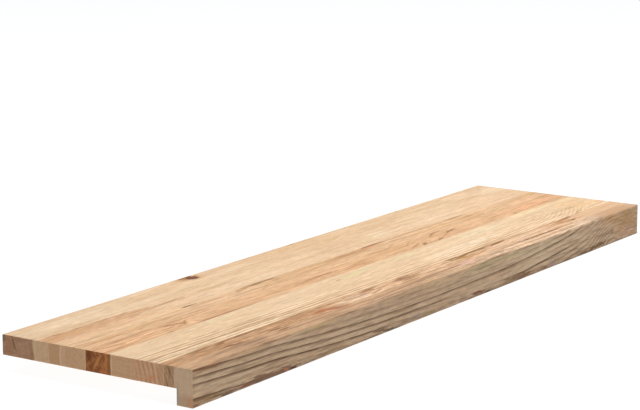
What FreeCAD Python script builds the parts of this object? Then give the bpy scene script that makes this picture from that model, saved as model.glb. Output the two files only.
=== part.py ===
import FreeCAD, Part
import os

# Stair tread of full-length wooden staves, glued edge to edge, with a taller strip glued along the
# front edge as its nosing. The strip's lower part hangs below the board as a lip that laps over the
# riser, or over the front of the step that the tread caps.
#
# Frame, in millimetres: X runs along the tread, Y from the nosing to the back edge, and Z up.
# The origin is at the middle of the footprint, level with the lip's lower edge.

# Driving dimensions
LENGTH = 1200.0
DEPTH = 300.0
BOARD_THICKNESS = 27.0
NOSING_HEIGHT = 48.0
NOSING_THICKNESS = 24.0

# Widths of the staves from the back edge forwards. The last one fills the rest, up to the nosing strip.
STAVE_WIDTHS = [56.0, 47.0, 33.0, 36.0, 42.0, 36.0]

# Sanded rounding of the outer edges. The glued joints stay sharp and flush.
EASING_RADIUS = 1.0

# Worked out from the driving dimensions
FRONT_Y = -DEPTH / 2
BACK_Y = DEPTH / 2
SEAM_Y = FRONT_Y + NOSING_THICKNESS
UNDERSIDE_Z = NOSING_HEIGHT - BOARD_THICKNESS

PARTS_FOLDER = "parts"
FLAT_TOLERANCE = 1e-6


def long_block(y_low, y_high, z_low, z_high):
    """A square-edged strip over the whole length of the tread."""
    corner = FreeCAD.Vector(-LENGTH / 2, y_low, z_low)
    return Part.makeBox(LENGTH, y_high - y_low, z_high - z_low, corner)


def lies_in_plane(edge, y):
    """True if both ends of the edge are at this Y."""
    return all(abs(vertex.Point.y - y) < FLAT_TOLERANCE for vertex in edge.Vertexes)


def lies_at_height(edge, z):
    """True if both ends of the edge are at this Z."""
    return all(abs(vertex.Point.z - z) < FLAT_TOLERANCE for vertex in edge.Vertexes)


def eased(block, glued_planes, open_edge_height=None):
    """The block with its outer edges rounded.

    An edge in a glued plane stays sharp, unless it is at open_edge_height, where the block stands
    clear of its neighbour.
    """
    outer = []
    for edge in block.Edges:
        in_joint = any(lies_in_plane(edge, y) for y in glued_planes)
        stands_clear = open_edge_height is not None and lies_at_height(edge, open_edge_height)
        if stands_clear or not in_joint:
            outer.append(edge)
    return block.makeFillet(EASING_RADIUS, outer)


def stave_spans():
    """The low and high Y of each stave, from the back edge forwards."""
    spans = []
    high = BACK_Y
    for width in STAVE_WIDTHS:
        spans.append((high - width, high))
        high -= width
    spans.append((SEAM_Y, high))
    return spans


def stave(y_low, y_high):
    """One stave of the board, glued to its neighbours along both long sides or along one."""
    block = long_block(y_low, y_high, UNDERSIDE_Z, NOSING_HEIGHT)
    glued_planes = [y for y in (y_low, y_high) if y < BACK_Y]
    return eased(block, glued_planes)


def nosing_strip():
    """The strip that closes the front edge and hangs below the board."""
    block = long_block(FRONT_Y, SEAM_Y, 0.0, NOSING_HEIGHT)
    return eased(block, [SEAM_Y], open_edge_height=0.0)


def tread():
    """Every piece of the tread, by name."""
    pieces = {}
    for number, (y_low, y_high) in enumerate(stave_spans(), start=1):
        pieces[f"stave_{number}"] = stave(y_low, y_high)
    pieces["nosing_strip"] = nosing_strip()
    return pieces


os.makedirs(PARTS_FOLDER, exist_ok=True)
for name, shape in tread().items():
    box = shape.BoundBox
    print(f"{name}: {box.XLength:.1f} x {box.YLength:.1f} x {box.ZLength:.1f} mm,"
          f" Y {box.YMin:.1f} to {box.YMax:.1f}, volume {shape.Volume / 1000:.1f} cm3,"
          f" valid {shape.isValid()}")
    shape.exportStep(os.path.join(PARTS_FOLDER, f"{name}.step"))
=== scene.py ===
# %% [markdown]
# # Dressing a stair tread
#
# The tread is a board of full-length staves glued edge to edge, with a taller strip along its front
# as the nosing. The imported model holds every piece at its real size, in metres, and this lesson gives
# each one its wood. It begins by loading that model, and notes the size of the box around it.

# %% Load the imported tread
from collections import namedtuple
import math
import bmesh
import bpy
from mathutils import Euler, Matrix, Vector


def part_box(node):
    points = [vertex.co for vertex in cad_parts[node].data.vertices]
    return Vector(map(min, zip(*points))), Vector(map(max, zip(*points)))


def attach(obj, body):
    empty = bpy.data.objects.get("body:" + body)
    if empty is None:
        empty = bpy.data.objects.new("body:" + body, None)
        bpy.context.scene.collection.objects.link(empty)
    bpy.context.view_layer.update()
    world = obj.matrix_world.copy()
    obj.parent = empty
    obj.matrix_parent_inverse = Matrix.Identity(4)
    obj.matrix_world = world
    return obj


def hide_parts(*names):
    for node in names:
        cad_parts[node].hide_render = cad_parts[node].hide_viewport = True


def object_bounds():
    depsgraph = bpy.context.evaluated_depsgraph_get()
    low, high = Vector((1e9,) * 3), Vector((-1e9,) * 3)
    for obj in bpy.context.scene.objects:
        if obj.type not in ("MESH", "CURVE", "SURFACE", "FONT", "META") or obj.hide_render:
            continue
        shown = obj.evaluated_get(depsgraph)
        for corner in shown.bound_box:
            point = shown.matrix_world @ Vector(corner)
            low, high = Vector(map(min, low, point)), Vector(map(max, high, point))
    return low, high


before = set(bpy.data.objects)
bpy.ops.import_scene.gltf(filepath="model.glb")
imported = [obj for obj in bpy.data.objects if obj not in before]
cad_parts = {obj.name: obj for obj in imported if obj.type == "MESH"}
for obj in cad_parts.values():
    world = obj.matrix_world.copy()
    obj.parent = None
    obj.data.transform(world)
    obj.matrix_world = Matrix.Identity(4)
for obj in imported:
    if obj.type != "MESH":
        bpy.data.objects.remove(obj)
cad_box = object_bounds()
print("pieces:", sorted(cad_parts))

# %% [markdown]
# ## The camera
#
# The photograph was taken from a little above, beyond the near left corner, with a long lens. A camera
# can be matched to a photograph by eye, but here straight edges and square corners do it better: the
# place, tilt, turn and lens below bring all the tread's corners onto the picture's.

# %% Stand the camera where the photographer stood
PICTURE_WIDTH = 640
SENSOR_MM = 36.0
FOCAL_PIXELS = 2197.25
CAMERA_PLACE = (-2.6008, -1.6747, 0.7509)
TILT_DOWN = 0.198
TURN = -0.9797

lens = bpy.data.cameras.new("camera")
lens.sensor_width = SENSOR_MM
lens.lens = SENSOR_MM * FOCAL_PIXELS / PICTURE_WIDTH
camera = bpy.data.objects.new("camera", lens)
camera.location = CAMERA_PLACE
camera.rotation_euler = (math.pi / 2 - TILT_DOWN, 0.0, TURN)
bpy.context.scene.collection.objects.link(camera)
bpy.context.scene.camera = camera
print("lens", round(lens.lens, 1), "mm")

# %% [markdown]
# ## A hand for building shaders
#
# The floor, the sky and the wood are all painted by nodes, which can be wired by hand in the shader
# editor. Written out in full, each node takes several lines, so these two helpers add one and join it up.

# %% Add a node and join it up
def add(tree, kind, **settings):
    """A new node of this kind with its settings."""
    node = tree.nodes.new(kind)
    for setting, value in settings.items():
        setattr(node, setting, value)
    return node


def feed(tree, socket, value):
    """Joins another node's result to a socket, or sets a plain number, vector or colour there."""
    if isinstance(value, bpy.types.NodeSocket):
        tree.links.new(value, socket)
    else:
        socket.default_value = value


# %% [markdown]
# ## Floor and light
#
# The picture's ground is plain white, with hardly a shadow. A matt white floor would turn grey under
# the tread, so this floor mostly glows by itself, and only a small part of it answers to the light.
# Its glow also lights the tread's sides from below, as a white studio table does.

# %% Lay the floor
FLOOR_SIZE = 28.0
FLOOR_GLOW = 0.93
FLOOR_PAINT = (0.12, 0.12, 0.12, 1.0)


def deselect_all():
    """Operators act on all that is selected, so nothing may stay selected by chance."""
    for other in bpy.context.selected_objects:
        other.select_set(False)


deselect_all()
bpy.ops.mesh.primitive_plane_add(size=FLOOR_SIZE, location=(0.0, 0.0, 0.0))
floor = bpy.context.active_object
floor.name = "floor"
white = bpy.data.materials.new("studio white")
white.use_nodes = True
paint = white.node_tree
paint.nodes.clear()
glow = add(paint, "ShaderNodeEmission")
glow.inputs["Strength"].default_value = FLOOR_GLOW
matt = add(paint, "ShaderNodeBsdfDiffuse")
matt.inputs["Color"].default_value = FLOOR_PAINT
both = add(paint, "ShaderNodeAddShader")
feed(paint, both.inputs[0], glow.outputs["Emission"])
feed(paint, both.inputs[1], matt.outputs["BSDF"])
feed(paint, add(paint, "ShaderNodeOutputMaterial").inputs["Surface"], both.outputs["Shader"])
floor.data.materials.append(white)
print("floor", FLOOR_SIZE, "m wide")

# %% [markdown]
# A large soft lamp hangs over the tread and makes its top the brightest face. The sky around is dimmer
# and a touch blue, so that the front and the ends stay in gentle, cooler shade. Seen straight by the
# camera the sky is plain white, to run on from the floor with no horizon.

# %% Hang the lamp and light the sky
LAMP_HEIGHT = 3.0
LAMP_BEYOND = 0.45
LAMP_SIZE = 3.5
LAMP_WATTS = 126.0
LAMP_COLOUR = (1.0, 0.985, 0.96)
SKY_COLOUR = (0.62, 0.95, 1.25, 1.0)
SKY_STRENGTH = 0.30
BACKDROP_STRENGTH = 1.05

deselect_all()
bpy.ops.object.light_add(type="AREA", location=(LAMP_BEYOND, 0.0, LAMP_HEIGHT))
lamp = bpy.context.active_object
lamp.name = "overhead lamp"
lamp.data.shape = "SQUARE"
lamp.data.size = LAMP_SIZE
lamp.data.energy = LAMP_WATTS
lamp.data.color = LAMP_COLOUR

studio = bpy.data.worlds.new("studio")
bpy.context.scene.world = studio
studio.use_nodes = True
sky = studio.node_tree
sky.nodes.clear()
seen = add(sky, "ShaderNodeBackground")
seen.inputs["Strength"].default_value = BACKDROP_STRENGTH
fill = add(sky, "ShaderNodeBackground")
fill.inputs["Color"].default_value = SKY_COLOUR
fill.inputs["Strength"].default_value = SKY_STRENGTH
choose = add(sky, "ShaderNodeMixShader")
feed(sky, choose.inputs["Fac"], add(sky, "ShaderNodeLightPath").outputs["Is Camera Ray"])
feed(sky, choose.inputs[1], fill.outputs["Background"])
feed(sky, choose.inputs[2], seen.outputs["Background"])
feed(sky, add(sky, "ShaderNodeOutputWorld").inputs["Surface"], choose.outputs["Shader"])
bpy.context.scene.view_settings.view_transform = "Standard"
print("lamp", LAMP_WATTS, "W at", LAMP_HEIGHT, "m")

# %% [markdown]
# ## Sums and colours in nodes
#
# The wood's patterns are sums on numbers, vectors and colours. Each helper here is one such node, so a
# pattern reads like a formula. The last turns a screen's colour into the values that shaders work in.

# %% Small helpers for sums and colours
def calc(tree, operation, first, second=0.0, third=0.0):
    """One step of arithmetic."""
    node = add(tree, "ShaderNodeMath", operation=operation)
    for socket, value in zip(node.inputs, (first, second, third)):
        feed(tree, socket, value)
    return node.outputs[0]


def fade(tree, value, start, end, low=0.0, high=1.0):
    """Turns a value smoothly from low, at start, to high, at end, and holds it there."""
    node = add(tree, "ShaderNodeMapRange", interpolation_type="SMOOTHSTEP")
    for socket, given in zip(node.inputs, (value, start, end, low, high)):
        feed(tree, socket, given)
    return node.outputs["Result"]


def arrow(tree, operation, first, second=(0.0, 0.0, 0.0), result="Vector"):
    """One step of arithmetic on vectors. A length or a dot product gives a Value as its result."""
    node = add(tree, "ShaderNodeVectorMath", operation=operation)
    feed(tree, node.inputs[0], first)
    feed(tree, node.inputs[1], second)
    return node.outputs[result]


def split(tree, vector):
    """The X, Y and Z of a vector."""
    node = add(tree, "ShaderNodeSeparateXYZ")
    feed(tree, node.inputs[0], vector)
    return node.outputs


def mix(tree, amount, under, over, blend="MIX"):
    """Lays one colour over another."""
    node = add(tree, "ShaderNodeMix", data_type="RGBA", blend_type=blend)
    feed(tree, node.inputs[0], amount)
    feed(tree, node.inputs[6], under)
    feed(tree, node.inputs[7], over)
    return node.outputs[2]


def shade(red, green, blue):
    """A screen's colour, from 0 to 255, in linear values from 0 to 1."""
    linear = [((part / 255 + 0.055) / 1.055) ** 2.4 for part in (red, green, blue)]
    return (*linear, 1.0)


print("a pale wood as the shader sees it:", [round(part, 3) for part in shade(226, 192, 150)])

# %% [markdown]
# ## Measuring a place in the wood
#
# Every pattern below is worked out from a place inside the wood, and not painted on its faces, so rings
# that run along the top turn the corner and come out as end grain. A joiner would measure a mark from
# the near end, from the back edge, and down from the top, in millimetres, and so does this helper.

# %% Places along, across and down, in millimetres
TREAD_LENGTH = 1000 * (cad_box[1][0] - cad_box[0][0])
TREAD_DEPTH = 1000 * (cad_box[1][1] - cad_box[0][1])
TREAD_HEIGHT = 1000 * (cad_box[1][2] - cad_box[0][2])


def place_in_wood(tree):
    """A vector of along, across and down, in millimetres."""
    if tree.type == "GEOMETRY":
        where = add(tree, "GeometryNodeInputPosition").outputs["Position"]
    else:
        where = add(tree, "ShaderNodeTexCoord").outputs["Object"]
    turned = arrow(tree, "MULTIPLY", where, (1000.0, -1000.0, -1000.0))
    return arrow(tree, "ADD", turned, (TREAD_LENGTH / 2, TREAD_DEPTH / 2, TREAD_HEIGHT))


print("tread of", round(TREAD_LENGTH), "x", round(TREAD_DEPTH), "x", round(TREAD_HEIGHT), "mm")

# %% [markdown]
# ## Fleck, cloud and wobble
#
# Wood is a bundle of fibres, so all that varies in it is long along the grain and short across. A noise
# texture is even in every direction, but fed with a place divided by a length and a width, it is drawn
# out the same way. Each stave's seed, and a number of the pattern's own, move it to another part of the
# same noise. Noise goes from 0 to 1: a pattern is absent below its start and full above its end.

# %% Noise drawn out along the grain
Pattern = namedtuple("Pattern", "length width detail number start end", defaults=(0.0, 1.0))
SWAYING = Pattern(230.0, 34.0, 1.0, 0)
RAGGED = Pattern(24.0, 5.0, 2.0, 9)
FIBRE_STRETCH = 5
NOISE_STEPS = (3.7, 5.3, 7.9)
NOISE_ROUGHNESS = 0.55


def grain_noise(tree, place, pattern, seed, result="Fac"):
    """Soft noise from 0 to 1, in flecks of a pattern's length and width in mm."""
    scaled = arrow(tree, "MULTIPLY", place, (1 / pattern.length, 1 / pattern.width, 1 / pattern.width))
    moved = arrow(tree, "ADD", scaled, [(seed + pattern.number) * step for step in NOISE_STEPS])
    node = add(tree, "ShaderNodeTexNoise")
    feed(tree, node.inputs["Vector"], moved)
    node.inputs["Scale"].default_value = 1.0
    node.inputs["Detail"].default_value = pattern.detail
    node.inputs["Roughness"].default_value = NOISE_ROUGHNESS
    return node.outputs[result]


def flecked(tree, place, pattern, seed, low=0.0, high=1.0):
    """A pattern's flecks in the wood, from low between them to high where they are full."""
    return fade(tree, grain_noise(tree, place, pattern, seed), pattern.start, pattern.end, low, high)


def pushed(tree, place, pattern, seed, reach):
    """A push of up to about this reach in mm, either way, along, across and down."""
    either_way = arrow(tree, "SUBTRACT", grain_noise(tree, place, pattern, seed, "Color"), (0.5, 0.5, 0.5))
    return arrow(tree, "MULTIPLY", either_way, [2 * far for far in reach])


def wobbled(tree, place, look):
    """The place, pushed about by a slow sway of the grain and by the raggedness of its fibres."""
    sway, rags = look["sway"], look["raggedness"]
    slow = pushed(tree, place, SWAYING, look["seed"], (0.0, sway, sway))
    quick = pushed(tree, place, RAGGED, look["seed"], (FIBRE_STRETCH * rags, rags, rags))
    return arrow(tree, "ADD", arrow(tree, "ADD", place, slow), quick)


print("the grain sways over", SWAYING.length, "mm and is ragged over", RAGGED.length, "mm")

# %% [markdown]
# ## Growth rings
#
# A trunk's rings are tubes round its pith, so the number of rings out from the pith is the distance from
# it, divided by a ring's width. Where that number is whole, a ring ends in its dark late wood. The pith
# isn't straight: a drawn curve says how far it drifts sideways along the tread, and the lines on a face
# drift with it. Where it bends away from a face, the rings there open into arches.

# %% Count the rings out from the pith
def drawn_curve(tree, along, points, low, high):
    """A value that follows a smooth curve along the tread. Points are (mm along, value)."""
    node = add(tree, "ShaderNodeFloatCurve")
    line = node.mapping.curves[0]
    steps = [(far / TREAD_LENGTH, (value - low) / (high - low)) for far, value in points]
    for spare, step in zip(list(line.points), (steps[0], steps[-1])):
        spare.location = step
    for step in steps[1:-1]:
        line.points.new(*step)
    node.mapping.update()
    feed(tree, node.inputs["Value"], calc(tree, "DIVIDE", along, TREAD_LENGTH))
    return calc(tree, "MULTIPLY_ADD", node.outputs["Value"], high - low, low)


def ring_count(tree, place, look):
    """How many rings lie between the pith and a place."""
    values = [value for far, value in look["drift"]]
    moved = drawn_curve(tree, split(tree, place)["X"], look["drift"], min(values) - 1, max(values) + 1)
    shift = add(tree, "ShaderNodeCombineXYZ")
    feed(tree, shift.inputs["Z" if look["drifts_down"] else "Y"], moved)
    away = arrow(tree, "SUBTRACT", place, shift.outputs["Vector"])
    away = arrow(tree, "SUBTRACT", away, (0.0, *look["pith"]))
    away = arrow(tree, "MULTIPLY", away, (0.0, 1.0, 1.0))
    return calc(tree, "DIVIDE", arrow(tree, "LENGTH", away, result="Value"), look["ring_width"])


# %% [markdown]
# A ring's late wood isn't an even line. It darkens slowly, and stops sharply where the next spring's
# pale wood begins. Some years leave it fainter than others, so white noise, fed with the ring's whole
# number, gives each ring a strength of its own.

# %% Darken where a ring ends
RISE_FROM, RISE_TO, STOP_FROM = 3.2, 0.55, 0.5


def late_wood(tree, count, look):
    """0 in the pale early wood, rising to 1 where a ring ends."""
    part, thick = calc(tree, "FRACT", count), look["line"]
    rise = fade(tree, part, 1.0 - RISE_FROM * thick, 1.0 - RISE_TO * thick)
    stop = fade(tree, part, 1.0 - STOP_FROM * thick, 1.0, 1.0, 0.0)
    line = calc(tree, "MULTIPLY", calc(tree, "POWER", rise, 2.0), stop)
    year = add(tree, "ShaderNodeTexWhiteNoise", noise_dimensions="1D")
    feed(tree, year.inputs["W"], calc(tree, "ADD", calc(tree, "FLOOR", count), look["seed"]))
    return calc(tree, "MULTIPLY", line, fade(tree, year.outputs["Value"], 0.0, 1.0, look["faintest"], 1.0))


# %% [markdown]
# ## Knots, streaks and stains
#
# What makes one board different from the next is local: a knot, a dark streak, a warm patch. Each is a
# soft ellipsoid in the wood, long or short, laid at its place and turned a little where it runs askew.
# The distance from its middle, measured in its own reach, says how strongly it shows. A mark can also
# stand for something with no colour, such as a stretch where the rings are quiet.

# %% One mark in the wood
END_MARK_DEPTH = 6


def mark(centre, reach, colour, strength=1, turn=(0, 0, 0), soft=0.7):
    """A mark at a place in mm along, across and down, with turns in degrees. Its colour may be None."""
    return {"centre": centre, "reach": reach, "colour": colour and shade(*colour), "strength": strength,
            "turn": turn, "soft": soft}


def top(centre, reach, colour, strength=1, turn=0, soft=0.7):
    """A mark on the top, at a place along and across."""
    return mark((*centre, 0), reach, colour, strength, (0, 0, turn), soft)


def front(centre, reach, colour, strength=1, turn=0, soft=0.7):
    """A mark on the front, at a place along and down."""
    return mark((centre[0], TREAD_DEPTH, centre[1]), reach, colour, strength, (0, turn, 0), soft)


def end(centre, reach, colour, strength=1, turn=0, soft=0.7):
    """A mark on the near end, at a place across and down. It reaches across and down too."""
    return mark((0, *centre), (END_MARK_DEPTH, *reach), colour, strength, (turn, 0, 0), soft)


def ellipsoid(tree, place, centre, reach, turn=(0, 0, 0), soft=1, fray=0.0):
    """1 in the middle of an ellipsoid and 0 outside its reach, with a soft or a sharp edge."""
    offset = arrow(tree, "SUBTRACT", place, centre)
    if any(turn):
        axes = Euler([math.radians(angle) for angle in turn]).to_matrix().col
        own = add(tree, "ShaderNodeCombineXYZ")
        for socket, axis, far in zip(own.inputs, axes, reach):
            feed(tree, socket, arrow(tree, "DOT_PRODUCT", offset, axis / far, "Value"))
        scaled = own.outputs["Vector"]
    else:
        scaled = arrow(tree, "DIVIDE", offset, reach)
    out = calc(tree, "ADD", arrow(tree, "LENGTH", scaled, result="Value"), fray)
    return fade(tree, out, 1, 1 - soft)


def masked(tree, place, here, fray=0.0):
    """How strongly a mark shows at a place."""
    full = ellipsoid(tree, place, here["centre"], here["reach"], here["turn"], here["soft"], fray)
    return calc(tree, "MULTIPLY", full, here["strength"])


print("a small knot:", top((174, 157.5), (13, 4, 8), (170, 114, 70), 0.8))

# %% [markdown]
# ## The rings of one stave
#
# Each stave brings its own pith, rings, swirls and quiet stretches. A swirl adds rings inside an
# ellipsoid, or takes some away, so that they crowd round its middle, as grain does round a knot. Rings
# also come and go along a board, and are thick here and thin there. The paint and the relief both ask
# this one helper, so a groove always lies under its dark line.

# %% Lay the rings
COMING_AND_GOING = Pattern(210.0, 7.0, 2.0, 2, 0.32, 0.62)
UNEVEN = Pattern(26.0, 2.4, 2.0, 15, 0.34, 0.66)
THICKEST = 1.12


def lay_rings(tree, look):
    """The place in the wood, the place as the grain bends it, and the late wood of the rings there."""
    place = place_in_wood(tree)
    bent = wobbled(tree, place, look)
    count = ring_count(tree, bent, look)
    for centre, reach, push in look["swirls"]:
        count = calc(tree, "MULTIPLY_ADD", ellipsoid(tree, bent, centre, reach), push, count)
    shown = flecked(tree, place, COMING_AND_GOING, look["seed"], look["faintest"])
    rings = calc(tree, "MULTIPLY", late_wood(tree, count, look), shown)
    uneven = flecked(tree, place, UNEVEN, look["seed"], look["thinnest"], THICKEST)
    rings = calc(tree, "MULTIPLY", rings, uneven)
    for here in look["quiet"]:
        rings = calc(tree, "MULTIPLY", rings, calc(tree, "SUBTRACT", 1.0, masked(tree, bent, here)))
    return place, bent, rings


# %% [markdown]
# ## Paint for the long faces
#
# The layers go on as they lie in real wood: slow clouds of tone, local stains with frayed edges, dark
# streaks, short flecks and fine fibres. Clear marks come after these, because a knot's hard core and
# clean early wood take neither fleck nor streak. The rings' late wood lies over all of them.

# %% Paint the faces that show long grain
CLOUDS = Pattern(150.0, 11.0, 3.0, 1, 0.3, 0.7)
FRAYED = Pattern(26.0, 3.2, 3.0, 14, 0.3, 0.7)
STREAKS = Pattern(75.0, 3.4, 3.0, 8, 0.48, 0.66)
FLECKS = Pattern(17.0, 3.0, 3.0, 10, 0.3, 0.7)
FIBRES = Pattern(38.0, 0.8, 3.0, 3, 0.25, 0.75)
FRAY = 0.35
FIBRE_TONES = (0.90, 1.06)


def toned(tree, colour, factor):
    """A colour multiplied by a number or by another colour."""
    return mix(tree, 1.0, colour, factor, "MULTIPLY")


def paint_face(tree, place, bent, rings, look):
    """The colour of the top, the underside and the long sides."""
    seed, late = look["seed"], shade(*look["late"])
    face = mix(tree, flecked(tree, bent, CLOUDS, seed), shade(*look["pale"]), shade(*look["deep"]))
    fray = flecked(tree, bent, FRAYED, seed, -FRAY, FRAY)
    for stain in look["marks"]:
        face = mix(tree, masked(tree, bent, stain, fray), face, stain["colour"])
    face = mix(tree, flecked(tree, bent, STREAKS, seed, 0.0, look["streaks"]), face, late)
    face = toned(tree, face, flecked(tree, bent, FLECKS, seed, 1 - look["flecks"], 1 + look["flecks"]))
    face = toned(tree, face, flecked(tree, place, FIBRES, seed, *FIBRE_TONES))
    for stain in look["clear"]:
        face = mix(tree, masked(tree, bent, stain), face, stain["colour"])
    return mix(tree, calc(tree, "MULTIPLY", rings, look["ring_strength"]), face, late)


print("fibres are", FIBRES.length, "mm long and", FIBRES.width, "mm wide")

# %% [markdown]
# ## Paint for the sawn ends
#
# The sawn ends drink more light, so they have darker tones of their own, and their cut fibres show as a
# fine speckle. The stains there also draw the glue lines and the borders between the staves' ends.

# %% Paint the ends and find them
END_CLOUDS = Pattern(60.0, 5.0, 3.0, 5, 0.3, 0.7)
CUT_FIBRES = Pattern(1.6, 0.7, 2.0, 6, 0.25, 0.7)
SPECKLE_TONES = (0.86, 1.05)
END_STARTS, END_FULL = 0.9, 0.3


def paint_end(tree, place, bent, rings, look):
    """The colour of the two sawn ends."""
    pale, deep, late = (shade(*look[tone]) for tone in ("end_pale", "end_deep", "end_late"))
    sawn = mix(tree, flecked(tree, place, END_CLOUDS, look["seed"]), pale, deep)
    sawn = mix(tree, calc(tree, "MULTIPLY", rings, look["end_rings"]), sawn, late)
    for stain in look["end_marks"]:
        sawn = mix(tree, masked(tree, bent, stain), sawn, stain["colour"])
    return toned(tree, sawn, flecked(tree, place, CUT_FIBRES, look["seed"], *SPECKLE_TONES))


def sawn_end(tree, place):
    """1 on the two sawn ends and 0 on all other faces."""
    half = TREAD_LENGTH / 2
    off_middle = calc(tree, "ABSOLUTE", calc(tree, "SUBTRACT", split(tree, place)["X"], half))
    return fade(tree, off_middle, half - END_STARTS, half - END_FULL)


print("end paint fades in over the last", END_STARTS, "mm")

# %% [markdown]
# ## The whole wood
#
# One recipe makes the wood of every stave. It joins face and end, and opens the pores that the plane
# cuts, which are darker than the wood around. Pores and late wood also lie a little lower and are
# rougher, so they catch the light differently. Sanded bare wood has only a weak sheen.

# %% The recipe for wood
PORES = Pattern(6.5, 0.42, 1.0, 4, 0.60, 0.70)
OPEN_WOOD = Pattern(120.0, 6.0, 2.0, 7, 0.35, 0.7)
PORE_TONE = (0.62, 0.558, 0.496, 1.0)
PORE_STRENGTH = 0.5
RING_SINKS, PORE_SINKS, FIBRE_RISES = 0.6, 0.5, 0.5
LOWERED = 0.00025
BUMP_STRENGTH = 0.5
SANDED, ROUGHER = 0.62, 0.12
SHEEN = 0.22


def make_wood(name, look):
    """A stave's wood as a material."""
    material = bpy.data.materials.new("wood of " + name)
    material.use_nodes = True
    tree, seed = material.node_tree, look["seed"]
    shader = tree.nodes["Principled BSDF"]
    place, bent, rings = lay_rings(tree, look)
    colour = mix(tree, sawn_end(tree, place), paint_face(tree, place, bent, rings, look),
                 paint_end(tree, place, bent, rings, look))
    pores = flecked(tree, place, PORES, seed)
    pores = calc(tree, "MULTIPLY", pores, flecked(tree, place, OPEN_WOOD, seed))
    amount = calc(tree, "MULTIPLY", pores, PORE_STRENGTH)
    feed(tree, shader.inputs["Base Color"], mix(tree, amount, colour, toned(tree, colour, PORE_TONE)))

    hollows = calc(tree, "MULTIPLY_ADD", rings, RING_SINKS, calc(tree, "MULTIPLY", pores, PORE_SINKS))
    raised = calc(tree, "MULTIPLY", grain_noise(tree, place, FIBRES, seed), FIBRE_RISES)
    bump = add(tree, "ShaderNodeBump")
    bump.inputs["Strength"].default_value = BUMP_STRENGTH
    bump.inputs["Distance"].default_value = LOWERED
    feed(tree, bump.inputs["Height"], calc(tree, "SUBTRACT", raised, hollows))
    feed(tree, shader.inputs["Normal"], bump.outputs["Normal"])
    feed(tree, shader.inputs["Roughness"], calc(tree, "MULTIPLY_ADD", hollows, ROUGHER, SANDED))
    shader.inputs["Specular IOR Level"].default_value = SHEEN
    return material


# %% [markdown]
# ## The staves, one by one
#
# The board is glued up from the wood of different trees, so each stave has a look of its own. Pale and
# deep are its two tones, and late is its late wood's. The pith lies across and down, outside the stave,
# a ring is as wide as ring_width, and line is the share of it that is late wood. The grain sways by so
# many mm, and drift is the curve that the pith follows. What a look leaves out is as usual.
#
# The marks are placed as they lie on this tread: first the two pale staves along the back, one of them
# with a dark knot at its very edge.

# %% Looks of the back staves
USUAL_LOOK = dict(raggedness=0.35, faintest=0.4, thinnest=0.62, drifts_down=False,
                  swirls=[], quiet=[], knots=[], marks=[], clear=[], end_marks=[])
looks = {}
looks["stave_1"] = dict(
    seed=1, sway=5, pale=(236, 198, 159), deep=(225, 184, 142), late=(200, 155, 112),
    ring_strength=0.42, pith=(20, 190), ring_width=5.5, line=0.26, streaks=0.36, flecks=0.08,
    end_pale=(182, 135, 101), end_deep=(164, 115, 82), end_late=(123, 79, 51), end_rings=0.35,
    drift=[(0, 0), (300, 6), (700, -4), (1200, 5)],
    quiet=[top((900, 28), (420, 90, 60), None, 0.7, soft=0.5)],
    knots=[mark((378, 11, 2), (15, 8, 10), None)],
    marks=[
        top((90, 28), (170, 30, 20), (244, 210, 172), 0.6),
        top((374, 14), (42, 18, 20), (214, 162, 112), 0.75),
        mark((376, 12, 4), (21, 13.5, 22), (144, 86, 34), soft=0.45),
        top((412, 10), (18, 7, 10), (246, 204, 168), 0.6),
        top((355, 11), (14, 2.2, 6), (168, 118, 76), 0.7, 10),
        top((130, 20), (16, 2.4, 6), (196, 158, 104), 0.6),
        top((250, 46), (190, 14, 20), (243, 206, 166), 0.5),
        top((330, 22), (110, 14, 20), (244, 202, 158), 0.6),
        top((560, 14), (170, 10, 20), (226, 182, 136), 0.6),
        top((690, 26), (110, 20, 20), (226, 183, 137), 0.7),
        top((636, 3), (14, 3, 8), (150, 104, 64), 0.8),
        top((700, 36), (36, 2.2, 8), (206, 156, 108), 0.6, -14),
        top((840, 28), (200, 34, 20), (226, 184, 140), 0.6),
        top((940, 44), (130, 14, 20), (242, 206, 166), 0.5),
        top((1090, 24), (60, 18, 20), (247, 207, 168), 0.7),
        top((1170, 40), (60, 20, 20), (244, 210, 172), 0.7),
    ],
    end_marks=[
        end((19, 9), (2.4, 13), (115, 77, 54), 0.8, -14),
        end((1, 2), (6, 9), (107, 103, 76), 0.7),
        end((33, 3), (14, 3), (143, 97, 65), 0.5),
        end((58, 13), (8.4, 40), (211, 172, 128), 0.98, soft=0.45),
        end((36, 11), (16, 16), (186, 141, 107), 0.4),
        end((11, 12), (8, 20), (166, 112, 76), 0.5),
    ],
    clear=[mark((380.5, 13, 4), (14, 11, 20), (92, 26, 0), soft=0.5)],
)
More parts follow.
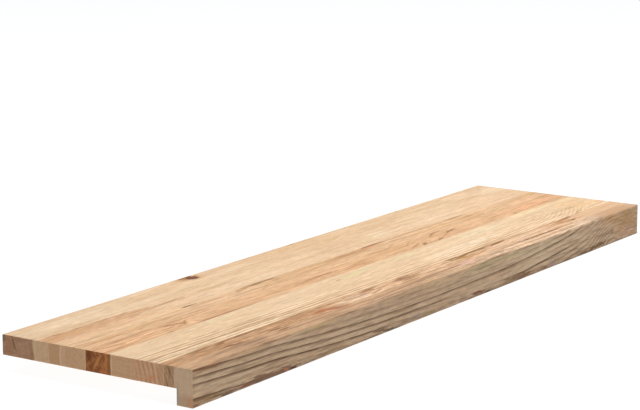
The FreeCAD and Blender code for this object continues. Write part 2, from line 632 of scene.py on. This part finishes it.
looks["stave_2"] = dict(
    seed=2, sway=4, pale=(239, 199, 161), deep=(232, 190, 148), late=(201, 157, 115),
    ring_strength=0.36, pith=(150, 120), ring_width=8, line=0.26, streaks=0.42, flecks=0.085,
    end_pale=(213, 170, 128), end_deep=(205, 162, 122), end_late=(168, 122, 85), end_rings=0.15,
    drift=[(0, 0), (400, 5), (800, -3), (1200, 3)],
    marks=[
        top((-30, 73), (330, 24, 60), (208, 150, 102), 0.9),
        top((100, 61.5), (130, 3.4, 12), (186, 132, 88), 0.8),
        top((60, 78), (150, 5, 12), (222, 168, 120), 0.6),
        top((130, 87), (120, 3.6, 12), (226, 172, 132), 0.7),
        top((180, 70), (90, 3.4, 12), (194, 142, 98), 0.7, 1.5),
        top((255, 72.5), (50, 6, 12), (188, 144, 96), 0.8, 1.5),
        top((350, 70), (54, 5.4, 12), (204, 164, 116), 0.75),
        top((80, 96), (230, 10, 30), (234, 184, 138), 0.85),
        top((560, 82), (170, 26, 12), (228, 188, 147), 0.5),
        top((430, 92), (130, 12, 12), (243, 208, 167), 0.5),
        top((520, 66), (120, 8, 12), (238, 198, 154), 0.6),
        top((690, 62), (70, 9, 12), (222, 178, 136), 0.5),
        top((770, 70), (44, 12, 12), (238, 212, 172), 0.8),
        top((716, 84), (46, 10, 12), (226, 196, 148), 0.7),
        top((930, 78), (110, 16, 12), (246, 208, 172), 0.6),
        top((1080, 72), (90, 14, 12), (242, 200, 158), 0.6),
    ],
    end_marks=[
        end((86.5, 13), (9, 40), (197, 148, 106), 0.95, soft=0.1),
        end((101.5, 13), (6.5, 40), (209, 162, 124), 0.95, soft=0.15),
        end((95.8, 13), (1.5, 40), (227, 180, 138), 0.8),
    ],
)
print("looks of", ", ".join(looks))

# %% [markdown]
# The middle of the board is a warm, peach-coloured pair of staves, one of them with small knots and the
# wild grain that grows round them. In front of these lies a pale, quiet stave, and beside it one with
# straight dark rings that bend back in an arch near the far end.

# %% Looks of the middle staves
looks["stave_3"] = dict(
    seed=3, sway=3, pale=(237, 191, 148), deep=(225, 178, 133), late=(190, 142, 99),
    ring_strength=0.85, pith=(70, 70), ring_width=5.6, line=0.28, streaks=0.6, flecks=0.11,
    end_pale=(209, 162, 120), end_deep=(202, 154, 113), end_late=(170, 124, 87), end_rings=0.2,
    drift=[(0, 0), (170, 10), (400, 10), (800, 4), (1200, 10)],
    quiet=[
        top((1090, 118), (140, 50, 60), None, 0.7, soft=0.5),
        top((300, 118), (130, 50, 60), None, 0.35, soft=0.5),
    ],
    marks=[
        top((60, 107), (250, 13, 16), (246, 202, 156), 0.8),
        top((70, 124), (140, 9, 16), (236, 182, 131), 0.8),
        top((60, 126), (80, 2.6, 8), (192, 136, 90), 0.8, 2.5),
        top((249, 106), (18, 2.3, 6), (112, 80, 52), soft=0.6),
        top((412, 106.8), (64, 4.2, 8), (130, 94, 52), 1, -0.8, 0.6),
        top((364, 111), (30, 3.2, 8), (184, 138, 88), 0.9, -7),
        top((430, 117), (70, 4, 8), (222, 176, 126), 0.7),
        top((398, 124), (30, 3.4, 8), (200, 152, 104), 0.6, -24),
        top((704, 134), (30, 3.4, 8), (204, 154, 108), 0.7, -20),
        top((520, 105.5), (60, 3, 8), (196, 152, 100), 0.7),
        top((540, 120), (170, 20, 16), (222, 172, 124), 0.7),
        top((636, 111), (64, 7, 8), (190, 136, 92), 0.85),
        top((700, 105.4), (52, 3.2, 8), (146, 98, 58), 0.95, soft=0.6),
        top((690, 111), (34, 3.4, 8), (230, 158, 114), 0.75),
        top((800, 104.8), (60, 2.8, 8), (186, 136, 88), 0.75),
        top((940, 105.8), (36, 3.2, 8), (170, 124, 72), 0.9),
        top((860, 120), (90, 10, 16), (240, 190, 136), 0.7),
        top((960, 122), (60, 9, 16), (226, 176, 122), 0.6),
        top((1130, 126), (70, 9, 16), (244, 188, 146), 0.7),
        top((1180, 110), (60, 14, 20), (224, 178, 124), 0.7),
    ],
    end_marks=[
        end((135, 13), (1.4, 40), (221, 177, 132), 0.7),
    ],
)
looks["stave_4"] = dict(
    seed=4, sway=3, pale=(236, 186, 141), deep=(225, 173, 127), late=(186, 135, 91),
    ring_strength=0.85, pith=(90, 60), ring_width=5.2, line=0.28, streaks=0.6, flecks=0.11, faintest=0.6,
    end_pale=(181, 111, 56), end_deep=(140, 76, 32), end_late=(103, 53, 22), end_rings=0.6,
    drift=[(0, 0), (170, 11), (400, 12), (800, 5), (1200, 12)],
    swirls=[
        ((790, 158, 0), (62, 26, 40), 4.5),
        ((176, 158, 0), (34, 12, 20), 1.4),
    ],
    quiet=[
        top((470, 150), (260, 60, 60), None, 0.75, soft=0.5),
        top((1020, 150), (170, 60, 60), None, 0.8, soft=0.5),
    ],
    knots=[
        top((174, 157.5), (10, 3.6, 8), None, 0.6),
        top((794, 168), (10, 3.4, 8), None, 0.6),
        top((852, 149), (20, 2.2, 8), None, 0.5, -12),
    ],
    marks=[
        top((60, 156), (150, 17, 16), (247, 190, 143), 0.8),
        top((56, 141), (76, 2.6, 8), (186, 130, 86), 0.85, 2),
        top((152, 148.5), (40, 2.8, 8), (172, 118, 74), 0.9, 10),
        top((30, 153), (36, 2.4, 8), (190, 134, 90), 0.7, 12),
        top((92, 158), (34, 3, 8), (206, 150, 104), 0.7, -8),
        top((30, 165), (60, 2.6, 8), (190, 126, 82), 0.8),
        top((174, 157.5), (13, 4, 8), (170, 114, 70), 0.8, -34, 0.6),
        top((166, 154.6), (26, 2, 8), (160, 104, 62), 0.8, 12),
        top((128, 170), (12, 2.6, 8), (160, 112, 70), 0.7),
        top((250, 170.4), (84, 2.8, 8), (172, 118, 74), 0.9, soft=0.6),
        top((330, 148), (110, 14, 16), (230, 180, 132), 0.6),
        top((495, 153.6), (60, 3.2, 8), (186, 128, 82), 0.9),
        top((580, 160), (48, 9, 14), (206, 150, 104), 0.8, soft=0.5),
        top((575, 170.6), (34, 1.6, 8), (214, 146, 96), 0.7),
        top((680, 150), (130, 18, 16), (232, 180, 132), 0.7),
        top((738, 160), (38, 2, 8), (170, 120, 74), 0.85, -18),
        top((742, 156.4), (18, 1.8, 8), (250, 206, 166), 0.8, -20),
        top((745, 141), (44, 2.4, 8), (200, 150, 104), 0.6, -26),
        top((752, 167), (13, 3.8, 8), (150, 106, 60), 0.9, -30, 0.7),
        top((795, 167.5), (12, 3.4, 8), (142, 94, 52), 0.9, -16, 0.7),
        top((776, 156), (24, 3, 8), (244, 196, 146), 0.7, -26),
        top((808, 142.5), (26, 3, 8), (176, 126, 78), 0.85, -22),
        top((838, 135), (28, 3.2, 8), (170, 118, 70), 0.95, -6),
        top((854, 149.6), (26, 3.2, 8), (126, 76, 44), 1, -9, 0.7),
        top((816, 161), (28, 2.2, 8), (184, 130, 84), 0.8, -18),
        top((884, 135), (18, 2.6, 8), (252, 206, 166), 0.8, -30),
        top((862, 164), (40, 4.6, 8), (226, 166, 118), 0.6),
        top((948, 167), (26, 4, 8), (198, 150, 102), 0.7),
        top((1028, 167.6), (11, 3.4, 8), (146, 102, 62), 0.9),
        top((990, 152), (24, 3, 8), (198, 146, 96), 0.6),
        top((1100, 156), (90, 15, 16), (246, 180, 134), 0.8),
        top((1110, 150), (40, 2.4, 8), (232, 150, 100), 0.6),
        top((1180, 146), (40, 10, 16), (232, 172, 124), 0.7),
    ],
    end_marks=[
        end((153.5, 13), (3.2, 15), (201, 132, 72), 0.75, 36),
        end((168, 13), (3, 18), (193, 124, 62), 0.7),
        end((162, 22), (6, 4.5), (196, 112, 66), 0.6),
        end((141, 6), (7, 10), (112, 56, 12), 0.8),
    ],
)
looks["stave_5"] = dict(
    seed=5, sway=4, pale=(237, 200, 161), deep=(231, 191, 149), late=(205, 163, 118),
    ring_strength=0.4, pith=(192, 320), ring_width=6, line=0.24, streaks=0.34, flecks=0.085,
    end_pale=(210, 161, 119), end_deep=(202, 153, 110), end_late=(165, 118, 79), end_rings=0.25,
    drift=[(0, 0), (500, -5), (1200, 4)],
    marks=[
        top((215, 184), (36, 6, 14), (232, 208, 160), 0.6),
        top((120, 200), (190, 9, 14), (242, 202, 158), 0.5),
        top((70, 203.5), (100, 1.6, 8), (208, 166, 124), 0.7, 0.6),
        top((90, 209.5), (130, 1.6, 8), (208, 166, 124), 0.7, 0.6),
        top((560, 196), (180, 30, 14), (230, 190, 150), 0.5),
        top((520, 188), (46, 9, 14), (226, 202, 150), 0.8),
        top((560, 184), (24, 6, 14), (216, 200, 150), 0.6),
        top((482, 189), (8, 3.4, 8), (200, 146, 108), 0.8),
        top((665, 186), (46, 9, 14), (234, 212, 160), 0.7),
        top((760, 198), (60, 8, 14), (244, 210, 166), 0.5),
        top((872, 190), (90, 18, 20), (240, 214, 172), 0.6),
        top((1060, 178), (120, 9, 20), (252, 218, 168), 0.8),
        top((1140, 200), (60, 14, 20), (240, 192, 138), 0.7),
        top((1168, 182), (30, 9, 20), (252, 216, 160), 0.6),
    ],
    end_marks=[
        end((172, 13), (3.8, 40), (144, 86, 43), 0.9, soft=0.15),
        end((176.4, 13), (1.5, 40), (224, 178, 133), 0.8),
        end((212, 13), (1.8, 40), (216, 152, 112), 0.7, -4),
    ],
)
looks["stave_6"] = dict(
    seed=6, sway=1.4, pale=(252, 213, 173), deep=(239, 198, 155), late=(168, 122, 79),
    ring_strength=1, pith=(82, 49), ring_width=6.6, line=0.24, streaks=0.4, flecks=0.1, faintest=0.8,
    end_pale=(217, 166, 125), end_deep=(207, 152, 108), end_late=(163, 107, 67), end_rings=0.7,
    drift=[(0, 0), (100, 3), (200, 6), (300, 9), (400, 11), (600, 12), (800, 11.5), (900, 9),
           (960, 4), (1010, -5), (1050, -17), (1090, -34), (1130, -53), (1200, -84)],
    quiet=[
        top((40, 243.5), (420, 4.5, 12), None, 0.7, soft=0.6),
        top((1200, 232), (100, 60, 60), None, 0.9, soft=0.4),
        top((640, 216), (420, 25, 60), None, 0.8, soft=0.5),
        top((1040, 226), (150, 60, 60), None, 0.55, soft=0.4),
    ],
    marks=[
        top((60, 243.5), (420, 5.5, 8), (252, 218, 176), 0.6, soft=0.6),
        top((60, 243.6), (330, 2, 5), (190, 144, 102), 0.8),
        top((60, 234), (420, 2.2, 6), (172, 124, 80), 0.8),
        top((330, 240), (240, 1.4, 6), (186, 140, 96), 0.7, 0.6),
        top((540, 232), (200, 34, 14), (234, 194, 152), 0.75),
        top((780, 222), (150, 16, 14), (248, 216, 180), 0.7),
        top((930, 232), (110, 12, 14), (244, 202, 156), 0.5),
        top((1098, 243.6), (34, 3, 6), (178, 130, 82), 0.85, -17, 0.7),
        top((1130, 232), (90, 30, 16), (236, 194, 150), 0.6),
        top((1150, 222), (50, 20, 16), (240, 192, 140), 0.6),
        top((1190, 232), (12, 4, 10), (250, 170, 116), 0.7),
    ],
    end_marks=[
        end((237, 20), (11, 5), (212, 136, 96), 0.55),
    ],
)
print("looks of", ", ".join(looks))

# %% [markdown]
# The two front pieces are darker, of a brownish, mottled wood. The nosing strip shows its rings best: on
# its front they run slowly downhill, level out, climb ever more steeply, and turn over in an arch near
# the far end. They are counted from a pith far below, and the drift moves them down, not across.

# %% Looks of the front staves
looks["stave_7"] = dict(
    seed=7, sway=4, pale=(239, 191, 148), deep=(225, 175, 131), late=(171, 122, 79),
    ring_strength=0.5, pith=(210, 40), ring_width=5.2, line=0.28, streaks=0.9, flecks=0.2, faintest=0.5,
    end_pale=(198, 151, 110), end_deep=(180, 133, 92), end_late=(121, 86, 57), end_rings=0.8,
    drift=[(0, 0), (300, 5), (600, -3), (900, 4), (1200, -6)],
    marks=[
        top((-120, 263), (720, 40, 60), (202, 152, 109), soft=0.55),
        top((150, 252), (124, 4.2, 10), (136, 90, 54), 0.9),
        top((84, 252.6), (40, 4.4, 10), (146, 102, 58), 0.9),
        top((108, 258), (18, 3.2, 8), (146, 98, 58), 0.9),
        top((254, 257), (32, 3.2, 8), (152, 104, 66), 0.9),
        top((70, 260), (60, 3.6, 8), (146, 100, 64), 0.7, 4),
        top((120, 273), (36, 3.8, 8), (142, 92, 58), 0.9, 6),
        top((214, 272), (30, 4, 8), (132, 88, 56), 0.9, 10),
        top((170, 264), (44, 3.4, 8), (206, 158, 118), 0.7),
        top((290, 260), (110, 18, 12), (194, 142, 95), 0.6),
        top((342, 271.5), (46, 6.6, 8), (190, 114, 68), 1, 8),
        top((362, 275.4), (18, 2.4, 6), (150, 78, 44), 0.8, 8),
        top((322, 268), (16, 2.6, 6), (186, 104, 62), 0.8, 6),
        top((372, 258), (34, 2.6, 8), (176, 130, 88), 0.7, 4),
        top((424, 266), (80, 13, 12), (244, 206, 172), 0.9),
        top((600, 264), (90, 13, 12), (234, 194, 158), 0.6),
        top((452, 256), (30, 5, 10), (168, 114, 72), 0.9),
        top((440, 264), (26, 5, 10), (206, 148, 106), 0.7),
        top((542, 258.5), (36, 11, 12), (162, 118, 84)),
        top((460, 268.5), (42, 3, 8), (186, 136, 96), 0.8, -13),
        top((556, 264), (46, 5, 12), (192, 146, 108), 0.7),
        top((700, 257), (38, 8, 10), (160, 120, 62), soft=0.8),
        top((680, 252), (30, 3.6, 8), (140, 102, 60), 0.9),
        top((716, 264), (34, 3.4, 10), (206, 150, 92), 0.7, 5),
        top((750, 252.4), (54, 3.8, 8), (124, 80, 42), soft=0.6),
        top((812, 252.6), (36, 4.2, 8), (124, 72, 34), soft=0.6),
        top((885, 253.5), (36, 4, 8), (196, 150, 106), 0.8),
        top((1036, 253.4), (66, 4.4, 8), (144, 96, 54), 1, -8, 0.7),
        top((1000, 261), (54, 5, 10), (222, 150, 96), 0.8, -4),
        top((1034, 267.5), (17, 4.6, 8), (132, 82, 42), soft=0.6),
        top((1010, 269), (20, 2.4, 8), (176, 112, 66), 0.8),
        top((880, 266), (140, 11, 14), (250, 208, 172), 0.85),
        top((1120, 264), (115, 18, 16), (255, 214, 174)),
    ],
    clear=[
        top((1130, 264), (95, 40, 60), (228, 182, 140), 0.85, soft=0.4),
        top((870, 267), (150, 9, 14), (228, 184, 148), 0.6),
        top((900, 256), (90, 6, 14), (216, 178, 138), 0.5),
    ],
    end_marks=[
        end((251, 13), (6.6, 40), (208, 156, 114), 0.6, soft=0.3),
        end((257.4, 13), (1.2, 40), (226, 186, 144), 0.5),
        end((276, 13), (3.4, 40), (209, 174, 140), 0.85, soft=0.3),
        end((266, 6), (3, 11), (132, 100, 66), 0.7, -10),
    ],
)
looks["nosing_strip"] = dict(
    seed=8, sway=1.2, pale=(209, 173, 138), deep=(200, 161, 124), late=(102, 72, 43),
    ring_strength=1, pith=(300, 499.8), ring_width=8.8, line=0.23, streaks=0.42, flecks=0.11,
    faintest=0.85, raggedness=0.18, thinnest=0.8, drifts_down=True,
    end_pale=(209, 172, 137), end_deep=(204, 165, 128), end_late=(178, 137, 101), end_rings=0.12,
    drift=[(0, 1.4), (50, 4), (103, 6.9), (167, 9.2), (218, 12.5), (282, 16.6), (333, 19), (400, 21.4),
           (500, 23.6), (630, 24.2), (733, 22.7), (800, 21), (851, 17.8), (903, 14.4), (954, 10),
           (1005, 1.5), (1046, -8.5), (1072, -17), (1095, -25), (1112, -27), (1135, -23), (1165, -14),
           (1200, -3)],
    swirls=[((1106, 300, 40), (88, 80, 48), -2.4)],
    quiet=[
        front((60, 33), (260, 30, 5), None, 0.75, -2.5, 0.4),
        front((250, 48), (900, 30, 7.5), None, 0.8, soft=0.5),
        mark((600, 288, -3), (900, 60, 5.5), None, 0.85, soft=0.4),
        mark((1110, 288, -3), (240, 60, 6.5), None, soft=0.3),
        front((1170, 22), (80, 60, 60), None, 0.85, soft=0.5),
        front((640, 40), (200, 30, 7), None, 0.8, soft=0.6),
        front((520, 12), (350, 30, 7), None, 0.7, soft=0.5),
        front((790, 10), (200, 30, 7), None, 0.7, 3, 0.5),
        front((680, 32.4), (130, 30, 5.5), None, 0.75, soft=0.5),
        front((250, 3), (120, 30, 6), None, 0.95, -3, 0.4),
        front((560, 3.6), (330, 30, 5.6), None, 0.95, soft=0.4),
        front((1060, 24), (80, 60, 50), None, 0.45, soft=0.6),
        front((478, 40.6), (64, 30, 4), None, 0.85, -3, 0.5),
        front((780, 29.6), (110, 30, 5.5), None, 0.85, 2, 0.4),
        front((890, 23.4), (90, 30, 5.5), None, 0.85, 5, 0.4),
        front((985, 12), (70, 30, 5.5), None, 0.7, 9, 0.4),
        front((900, 38), (110, 30, 6), None, 0.6, 5, 0.5),
        front((1005, 20), (75, 30, 8), None, 0.5, 10, 0.5),
    ],
    marks=[
        # The first three marks give the strip's top a tone apart from its front, redder near the end and
        # paler further on: partly the wood's stain, partly painted light on the top face.
        mark((200, 288, -4), (900, 60, 9), (209, 160, 119), 0.95, soft=0.4),
        mark((1000, 288, -5), (500, 60, 8), (250, 208, 170), 0.95, soft=0.4),
        mark((850, 288, -5), (220, 60, 8), (250, 203, 160), 0.7, soft=0.5),
        # A wide band darkens the lower part of the front; at the bottom edge its darkening is painted
        # shade of that edge.
        front((600, 54), (1500, 30, 16), (172, 138, 106), 0.9, soft=0.6),
        top((905, 278.4), (130, 3, 4), (146, 92, 54), soft=0.6),
        top((640, 281), (150, 2.6, 4), (164, 112, 76), 0.8, soft=0.6),
        top((890, 290.4), (120, 2.6, 4), (188, 136, 104), 0.7, soft=0.6),
        top((735, 298), (44, 4, 4), (150, 112, 84), 0.8),
        top((1066, 298), (26, 4, 4), (150, 116, 84), 0.7),
        top((965, 295), (20, 4, 4), (208, 184, 146), 0.6),
        top((970, 282.8), (60, 3.6, 4), (252, 190, 142), 0.7),
        top((682, 280), (34, 9, 4), (236, 184, 160), 0.75, soft=0.6),
        top((790, 283), (46, 2.6, 4), (240, 184, 156), 0.6),
        top((520, 287), (180, 2.6, 4), (150, 106, 74), 0.45),
        top((260, 286), (120, 2, 4), (164, 118, 84), 0.3),
        top((221, 280.4), (22, 3.4, 4), (148, 100, 62), 0.9),
        top((354, 278), (32, 4.4, 4), (186, 120, 78), 0.85),
        top((90, 283), (80, 5, 4), (176, 134, 98), 0.6),
        top((440, 296), (120, 2.4, 4), (170, 136, 112), 0.6),
        top((1110, 288), (110, 16, 5), (212, 172, 140)),
        front((28, 4), (34, 14, 5), (206, 140, 96), 0.5),
        front((30, 4.2), (38, 12, 1.8), (132, 86, 54), 0.7, -4),
        front((450, 7), (290, 14, 7.5), (188, 150, 120), 0.6),
        front((880, 30), (140, 14, 9), (218, 188, 152), 0.5),
        front((890, 12), (130, 14, 12), (220, 190, 152), 0.5),
        # Painted shade along the front's bottom edge, darkest in its last few millimetres.
        front((600, 49.4), (1500, 30, 3.2), (136, 104, 78), 0.7, soft=0.8),
        front((148, 44.5), (88, 22, 6.8), (130, 92, 66), 0.9, soft=0.5),
        front((200, 43.5), (26, 12, 5), (112, 76, 50), 0.9, -10, 0.6),
        front((30, 41), (44, 20, 6), (158, 124, 76), 0.8),
        front((62, 45.4), (28, 12, 3), (108, 76, 48), 0.85, -4),
        front((16, 38.6), (30, 12, 3), (146, 100, 68), 0.75),
        front((30, 45), (30, 12, 3), (140, 96, 72), 0.6),
        front((104, 45.4), (12, 10, 3), (170, 90, 70), 0.7),
        front((196, 44), (12, 10, 3.2), (196, 128, 92), 0.75, -12),
        front((212, 46), (12, 10, 3), (84, 54, 32), 0.9),
        front((10, 47), (14, 10, 3), (170, 86, 72), 0.6),
        front((436, 45.6), (30, 12, 3.6), (112, 84, 62), 0.9, -6, 0.5),
        front((410, 42), (26, 12, 2.6), (126, 94, 66), 0.85, -8),
        front((316, 41), (60, 14, 6), (180, 142, 106), 0.6),
        front((535, 44), (34, 12, 4), (160, 138, 88), 0.7),
        front((512, 40), (16, 12, 4), (158, 130, 126), 0.6),
        front((682, 42.2), (30, 12, 3.2), (132, 78, 48), 0.95, -4, 0.6),
        front((704, 46), (14, 12, 3.4), (106, 68, 40), 0.9, soft=0.5),
        front((640, 42.5), (30, 12, 2.4), (150, 108, 84), 0.8),
        front((795, 43.4), (56, 14, 5.4), (138, 102, 70), 0.9),
        front((812, 43), (24, 12, 3.8), (132, 90, 58), 0.75),
        front((832, 43), (10, 12, 4.2), (140, 92, 64), 0.7),
        front((760, 42), (20, 12, 3), (156, 130, 82), 0.7),
        front((880, 45.6), (17, 12, 3), (132, 98, 62), 0.9, soft=0.6),
        front((905, 43), (14, 12, 4), (176, 144, 142), 0.7),
        front((952, 46.4), (14, 12, 2.4), (128, 100, 66), 0.8),
        front((1050, 43.2), (38, 14, 4.6), (130, 94, 56), 0.95, 5),
        front((1022, 46), (26, 12, 3.2), (128, 96, 68), 0.9),
        front((1072, 41), (24, 12, 2.4), (138, 102, 58), 0.8),
        front((1108, 29), (6, 8, 6.5), (142, 106, 66), 0.6, 14),
        front((1092, 18), (5, 8, 9), (206, 172, 130), 0.5),
        front((560, 5), (200, 14, 7), (208, 168, 124), 0.7),
        front((260, 5), (60, 12, 5), (206, 172, 116), 0.6),
        front((120, 10), (60, 12, 8), (202, 166, 122), 0.4),
        front((700, 6), (70, 12, 7), (186, 164, 120), 0.7),
        front((790, 6), (40, 12, 7), (196, 174, 128), 0.6),
        front((1110, 8), (60, 14, 12), (203, 149, 92), 0.7),
        front((1160, 18), (60, 14, 30), (185, 140, 90), 0.9),
        front((1160, 34), (30, 14, 10), (196, 146, 120), 0.7),
    ],
    clear=[mark((1135, 288, -5), (105, 60, 8), (206, 158, 116), 0.85, soft=0.4)],
    end_marks=[
        end((288, 42), (18, 14), (190, 152, 120), 0.8),
        end((298, 42), (12, 12), (200, 140, 98), 0.7),
        # A grey line down the lip's back edge, below the stave beside it, is painted shade along that
        # edge.
        end((277.5, 34), (2.4, 20), (156, 150, 138), 0.7),
    ],
)
print("marks on all pieces:", sum(len(look["marks"]) for look in looks.values()))

# %% [markdown]
# ## Sawing the staves
#
# A finished stave isn't quite smooth: the soft wood between the rings takes more or less off under the
# sander, knots sink, and an eased edge is never even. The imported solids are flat, so each stave is cut
# again here as a cube of the same size and place. An operator in edit mode works on the edges that are
# selected, so the first helpers pick edges by where they lie.

# %% Pick edges by their place
SMALLEST = 1e-5
IN_LINE = 0.98
LONG_ENOUGH = 0.8


def pick_edges(block, is_wanted):
    """Selects the edges that are wanted, and nothing else."""
    mesh = bmesh.from_edit_mesh(block.data)
    for part in (*mesh.faces, *mesh.edges):
        part.select_set(False)
    for edge in mesh.edges:
        if is_wanted(edge.verts[0].co, edge.verts[1].co):
            edge.select_set(True)
    bmesh.update_edit_mesh(block.data)


def is_glued(sides, one, other):
    """True for an edge that lies in one of the stave's long sides, where that side is a glued joint."""
    for side in sides:
        inside_depth = cad_box[0][1] + SMALLEST < side < cad_box[1][1] - SMALLEST
        if inside_depth and abs(one.y - side) < SMALLEST and abs(other.y - side) < SMALLEST:
            return True
    return False


def divide(block, axis, length, step):
    """Cuts the edges that run along an axis, and are about this long, into steps."""
    def runs_along(one, other):
        way = other - one
        return abs(way[axis]) > IN_LINE * way.length and way.length > LONG_ENOUGH * length

    pick_edges(block, runs_along)
    bpy.ops.mesh.subdivide(number_cuts=round(length / step) - 1)


print("edges are found to within", 1000 * SMALLEST, "mm")

# %% [markdown]
# The cube's outer edges are beveled, as sandpaper eases them, and its glued ones are left sharp. Then it
# is subdivided along, across and down, to have points enough for the relief. Grain changes slowly along
# a stave, so the steps there can be longer.

# %% Saw and ease a stave
EASING = 0.001
EASING_STEPS = 3
STEP_ALONG = 0.0065
STEP_ACROSS = 0.001


def saw_stave(name):
    """A stave as a mesh of its own, eased and divided."""
    low, high = (Vector(corner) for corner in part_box(name))
    size = high - low
    deselect_all()
    bpy.ops.mesh.primitive_cube_add(size=1.0, location=(low + high) / 2, scale=size)
    block = bpy.context.active_object
    block.name = "sanded_" + name
    bpy.ops.object.transform_apply(location=True, rotation=True, scale=True)

    def is_outer(one, other):
        lip_edge = name == "nosing_strip" and max(one.z, other.z) < SMALLEST
        return lip_edge or not is_glued((low.y, high.y), one, other)

    bpy.ops.object.mode_set(mode="EDIT")
    bpy.ops.mesh.select_mode(type="EDGE")
    pick_edges(block, is_outer)
    bpy.ops.mesh.bevel(offset=EASING, segments=EASING_STEPS, affect="EDGES")
    divide(block, 0, size.x, 2 * STEP_ALONG)
    divide(block, 0, 2 * STEP_ALONG, STEP_ALONG)
    divide(block, 1, size.y, STEP_ACROSS)
    divide(block, 2, size.z, STEP_ACROSS)
    bpy.ops.object.mode_set(mode="OBJECT")
    return block


print("points every", 1000 * STEP_ALONG, "mm along and", 1000 * STEP_ACROSS, "mm across")

# %% [markdown]
# ## Relief
#
# The relief is a small geometry node tree over the points of the stave. It asks the same rings as the
# paint does, and sinks the knots a little deeper. All of it goes inwards, by a fraction of a millimetre,
# and it fades out towards a glued joint, where neighbours were sanded together. The eased edges, where
# the surface faces two ways at once, are worn more in some places than in others.

# %% Where the relief may go
JOINT_FROM, JOINT_TO = 0.1, 1.6
FLAT, ROUND = 0.985, 0.8


def joint_fade(tree, place, name):
    """0 at a glued joint, rising to 1 a little away from it."""
    clear = 1.0
    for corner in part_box(name):
        across = TREAD_DEPTH / 2 - 1000 * corner[1]
        if 1000 * SMALLEST < across < TREAD_DEPTH - 1000 * SMALLEST:
            away = calc(tree, "ABSOLUTE", calc(tree, "SUBTRACT", split(tree, place)["Y"], across))
            clear = calc(tree, "MULTIPLY", clear, fade(tree, away, JOINT_FROM, JOINT_TO))
    return clear


def edge_amount(tree, normal):
    """1 on an eased edge and 0 on the flat faces, from the largest of the normal's three sizes."""
    sizes = [calc(tree, "ABSOLUTE", socket) for socket in split(tree, normal)]
    largest = calc(tree, "MAXIMUM", calc(tree, "MAXIMUM", sizes[0], sizes[1]), sizes[2])
    return fade(tree, largest, FLAT, ROUND)


print("relief starts", JOINT_FROM, "mm from a joint and is full at", JOINT_TO, "mm")

# %% Sink rings and knots, and wear the edges
GROOVE_DEPTH = 0.00016
KNOT_DEPTH = 0.0005
EDGE_WEAR = 0.0003
WEARING = Pattern(28.0, 12.0, 3.0, 12, 0.4, 0.75)
SMOOTH_BELOW = 35


def relief_tree(name, look):
    """A geometry node tree that sinks a stave's surface."""
    tree = bpy.data.node_groups.new("relief of " + name, "GeometryNodeTree")
    tree.interface.new_socket("Mesh", in_out="INPUT", socket_type="NodeSocketGeometry")
    tree.interface.new_socket("Mesh", in_out="OUTPUT", socket_type="NodeSocketGeometry")
    place, bent, rings = lay_rings(tree, look)
    sunk = calc(tree, "MULTIPLY", rings, GROOVE_DEPTH)
    for knot in look["knots"]:
        sunk = calc(tree, "MULTIPLY_ADD", masked(tree, bent, knot), KNOT_DEPTH, sunk)
    normal = add(tree, "GeometryNodeInputNormal").outputs["Normal"]
    wear = calc(tree, "MULTIPLY", flecked(tree, place, WEARING, look["seed"]), edge_amount(tree, normal))
    sunk = calc(tree, "MULTIPLY_ADD", wear, EDGE_WEAR, sunk)
    sunk = calc(tree, "MULTIPLY", sunk, joint_fade(tree, place, name))
    inwards = arrow(tree, "MULTIPLY", normal, calc(tree, "MULTIPLY", sunk, -1.0))
    move = add(tree, "GeometryNodeSetPosition")
    feed(tree, move.inputs["Geometry"], add(tree, "NodeGroupInput").outputs[0])
    feed(tree, move.inputs["Offset"], inwards)
    feed(tree, add(tree, "NodeGroupOutput").inputs[0], move.outputs["Geometry"])
    return tree


def sand(block, name, look):
    """Gives a stave its relief for good, and smooths the shading of its eased edges."""
    relief = block.modifiers.new("relief", "NODES")
    relief.node_group = relief_tree(name, look)
    deselect_all()
    block.select_set(True)
    bpy.context.view_layer.objects.active = block
    bpy.ops.object.modifier_apply(modifier=relief.name)
    bpy.ops.object.shade_smooth_by_angle(angle=math.radians(SMOOTH_BELOW))


print("grooves are", 1000 * GROOVE_DEPTH, "mm deep and knots", 1000 * KNOT_DEPTH, "mm")

# %% [markdown]
# ## Every stave in its place
#
# Each stave is sawn, sanded and given its wood. It takes the place of its imported solid, which is hidden,
# and it rides on the one body that the tread is.

# %% Make all the staves
for name, own_look in looks.items():
    look = {**USUAL_LOOK, **own_look}
    stave = saw_stave(name)
    sand(stave, name, look)
    stave.data.materials.append(make_wood(name, look))
    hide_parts(name)
    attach(stave, "root")
    print(stave.name, "has", len(stave.data.polygons), "faces")
